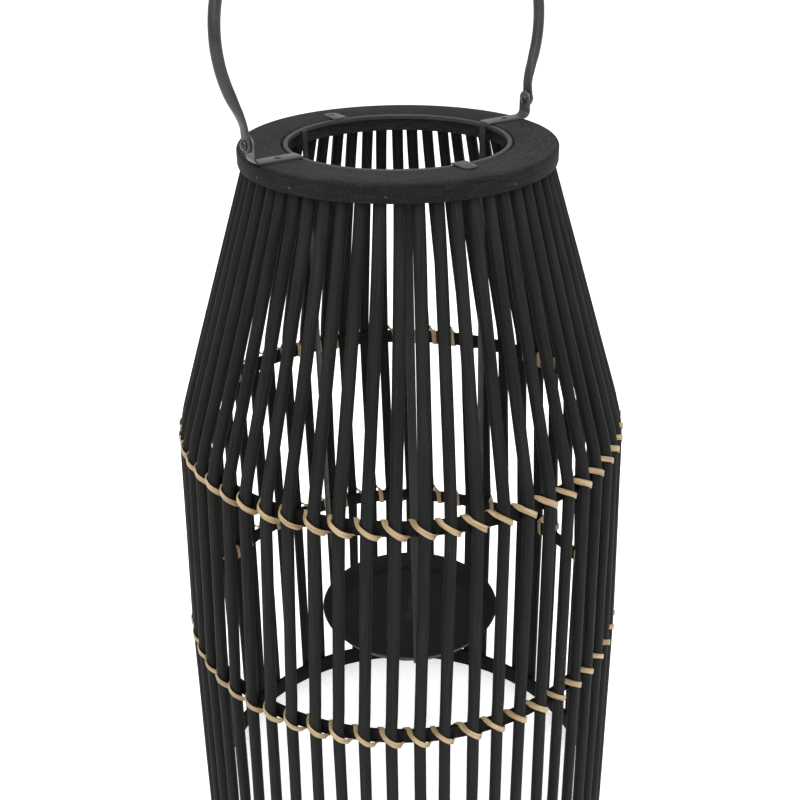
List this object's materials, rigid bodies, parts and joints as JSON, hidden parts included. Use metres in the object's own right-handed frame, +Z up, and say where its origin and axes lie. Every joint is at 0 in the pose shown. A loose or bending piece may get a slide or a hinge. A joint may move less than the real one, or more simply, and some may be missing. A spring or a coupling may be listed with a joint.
{
  "type": "stick lantern",
  "caption": "Bell-shaped candle lantern of upright black sticks lashed to hoops, with a wooden top ring, a hung candle dish and a swinging bail handle.",
  "frame": {"origin": "on the ground at the centre of the bottom hoop", "axes": "+Z up, X along the bail handle's pivot axis, the handle leans towards +Y at rest"},
  "size_m": [0.346, 0.346, 0.7566],
  "materials": {
    "ring_wood": "charcoal stain, satin",
    "black_wood": "black stain, satin",
    "rattan": "natural split cane",
    "dark_metal": "dark grey satin",
    "black_metal": "black satin"
  },
  "bodies": {
    "lantern": {"top_ring": "ring_wood", "upper_hoop": "black_wood", "middle_hoop": "black_wood", "bottom_hoop": "black_wood", "upper_lashing": "rattan", "middle_lashing": "rattan", "stick_pair_01": "black_wood", "stick_pair_02": "black_wood", "stick_pair_03": "black_wood", "stick_pair_04": "black_wood", "stick_pair_05": "black_wood", "stick_pair_06": "black_wood", "stick_pair_07": "black_wood", "stick_pair_08": "black_wood", "stick_pair_09": "black_wood", "stick_pair_10": "black_wood", "stick_pair_11": "black_wood", "stick_pair_12": "black_wood", "stick_pair_13": "black_wood", "stick_pair_14": "black_wood", "stick_pair_15": "black_wood", "stick_pair_16": "black_wood", "stick_pair_17": "black_wood", "stick_pair_18": "black_wood", "stick_pair_19": "black_wood", "stick_pair_20": "black_wood", "stick_pair_21": "black_wood", "stick_pair_22": "black_wood", "stick_pair_23": "black_wood", "stick_pair_24": "black_wood", "stick_pair_25": "black_wood", "stick_pair_26": "black_wood", "stick_pair_27": "black_wood", "stick_pair_28": "black_wood", "collar_ring": "dark_metal", "right_bracket": "dark_metal", "left_bracket": "dark_metal", "back_tab": "dark_metal", "front_tab": "dark_metal", "right_bracket_screw": "black_metal", "left_bracket_screw": "black_metal", "back_tab_screw": "black_metal", "front_tab_screw": "black_metal", "dish_hanger_1": "black_metal", "dish_hanger_2": "black_metal", "dish_hanger_3": "black_metal", "candle_dish": "black_metal", "right_rivet": "black_metal", "left_rivet": "black_metal"},
    "handle": {"bail_handle": "black_metal"}
  },
  "joints": [
    {"name": "handle_swing", "type": "hinge", "parent": "lantern", "child": "handle", "pos_m": [0, 0, 0.5865], "axis": [1, 0, 0], "range_deg": [-118, 130]}
  ]
}
